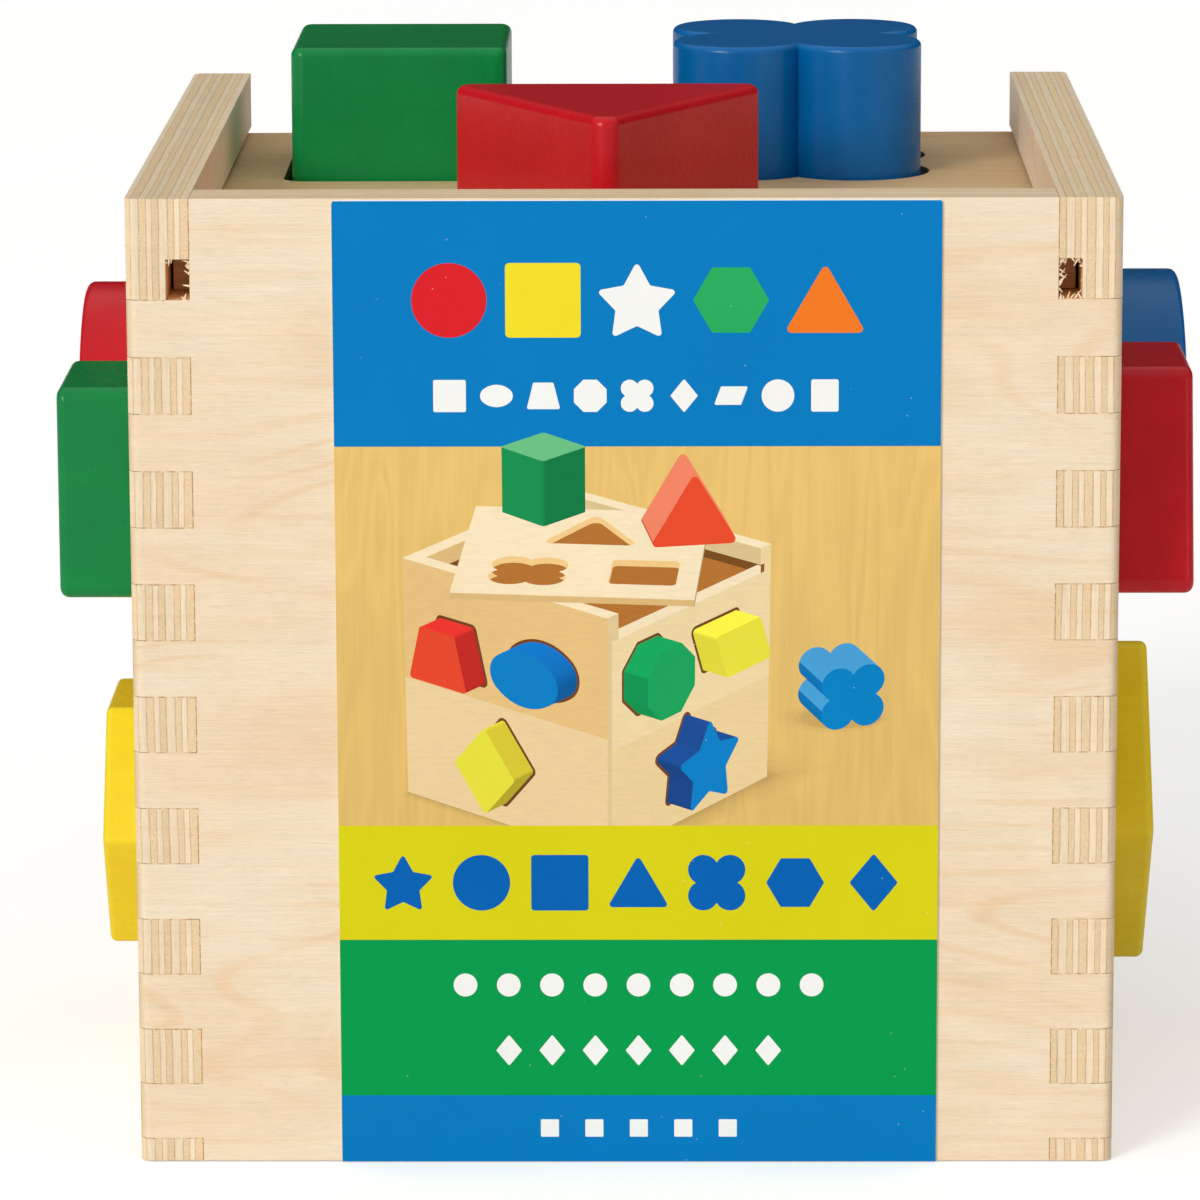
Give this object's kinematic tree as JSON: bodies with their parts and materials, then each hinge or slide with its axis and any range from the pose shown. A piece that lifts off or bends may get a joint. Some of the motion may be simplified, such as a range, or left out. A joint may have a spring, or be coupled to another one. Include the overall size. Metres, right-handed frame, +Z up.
{
  "type": "shape sorter",
  "caption": "Wooden shape sorting cube: finger-jointed plywood box, sliding lid, and painted blocks standing in matching holes in the lid and walls.",
  "frame": {"origin": "middle of the box's underside, on the surface it stands on", "axes": "+Z up; -Y is the front wall, which carries the label; +Y is the low back wall, the way the lid slides out; +X is the wall on the right as seen from the front"},
  "size_m": [0.169, 0.1524, 0.1506],
  "materials": {
    "birch_ply": "sanded bare plywood, layered edges",
    "thin_ply": "sanded bare plywood, layered edges",
    "printed_card": "printed card, satin",
    "paint_red": "gloss paint on wood",
    "paint_green": "gloss paint on wood",
    "paint_blue": "gloss paint on wood",
    "paint_yellow": "gloss paint on wood"
  },
  "bodies": {
    "box": {"front_panel": "birch_ply", "back_panel": "birch_ply", "left_panel": "birch_ply", "right_panel": "birch_ply", "base_panel": "thin_ply", "front_label": "printed_card"},
    "lid": {"sliding_lid": "thin_ply"},
    "square_block": {"square_block": "paint_green"},
    "triangle_block": {"triangle_block": "paint_red"},
    "quatrefoil_block": {"quatrefoil_block": "paint_blue"},
    "trapezoid_block": {"trapezoid_block": "paint_red"},
    "oval_block": {"oval_block": "paint_blue"},
    "rhombus_block": {"rhombus_block": "paint_yellow"},
    "octagon_block": {"octagon_block": "paint_green"},
    "parallelogram_block": {"parallelogram_block": "paint_yellow"},
    "star_block": {"star_block": "paint_blue"},
    "rectangle_block": {"rectangle_block": "paint_green"},
    "circle_block": {"circle_block": "paint_red"},
    "hexagon_block": {"hexagon_block": "paint_yellow"}
  },
  "joints": [
    {"name": "lid_slide", "type": "slide", "parent": "box", "child": "lid", "axis": [0, 1, 0], "range_m": [0, 0.12]},
    {"name": "square_slide", "type": "slide", "parent": "lid", "child": "square_block", "axis": [0, 0, 1], "range_m": [-0.012, 0.004]},
    {"name": "triangle_slide", "type": "slide", "parent": "lid", "child": "triangle_block", "axis": [0, 0, 1], "range_m": [-0.021, 0.004]},
    {"name": "quatrefoil_slide", "type": "slide", "parent": "lid", "child": "quatrefoil_block", "axis": [0, 0, 1], "range_m": [-0.0075, 0.004]},
    {"name": "trapezoid_slide", "type": "slide", "parent": "box", "child": "trapezoid_block", "axis": [1, 0, 0], "range_m": [-0.019, 0.012]},
    {"name": "oval_slide", "type": "slide", "parent": "box", "child": "oval_block", "axis": [1, 0, 0], "range_m": [-0.022, 0.009]},
    {"name": "rhombus_slide", "type": "slide", "parent": "box", "child": "rhombus_block", "axis": [1, 0, 0], "range_m": [-0.016, 0.015]},
    {"name": "octagon_slide", "type": "slide", "parent": "box", "child": "octagon_block", "axis": [0, 1, 0], "range_m": [-0.0065, 0.012]},
    {"name": "parallelogram_slide", "type": "slide", "parent": "box", "child": "parallelogram_block", "axis": [0, 1, 0], "range_m": [-0.012, 0.012]},
    {"name": "star_slide", "type": "slide", "parent": "box", "child": "star_block", "axis": [0, 1, 0], "range_m": [-0.017, 0.014]},
    {"name": "rectangle_slide", "type": "slide", "parent": "box", "child": "rectangle_block", "axis": [-1, 0, 0], "range_m": [-0.019, 0.012]},
    {"name": "circle_slide", "type": "slide", "parent": "box", "child": "circle_block", "axis": [-1, 0, 0], "range_m": [-0.021, 0.01]},
    {"name": "hexagon_slide", "type": "slide", "parent": "box", "child": "hexagon_block", "axis": [-1, 0, 0], "range_m": [-0.016, 0.015]}
  ]
}
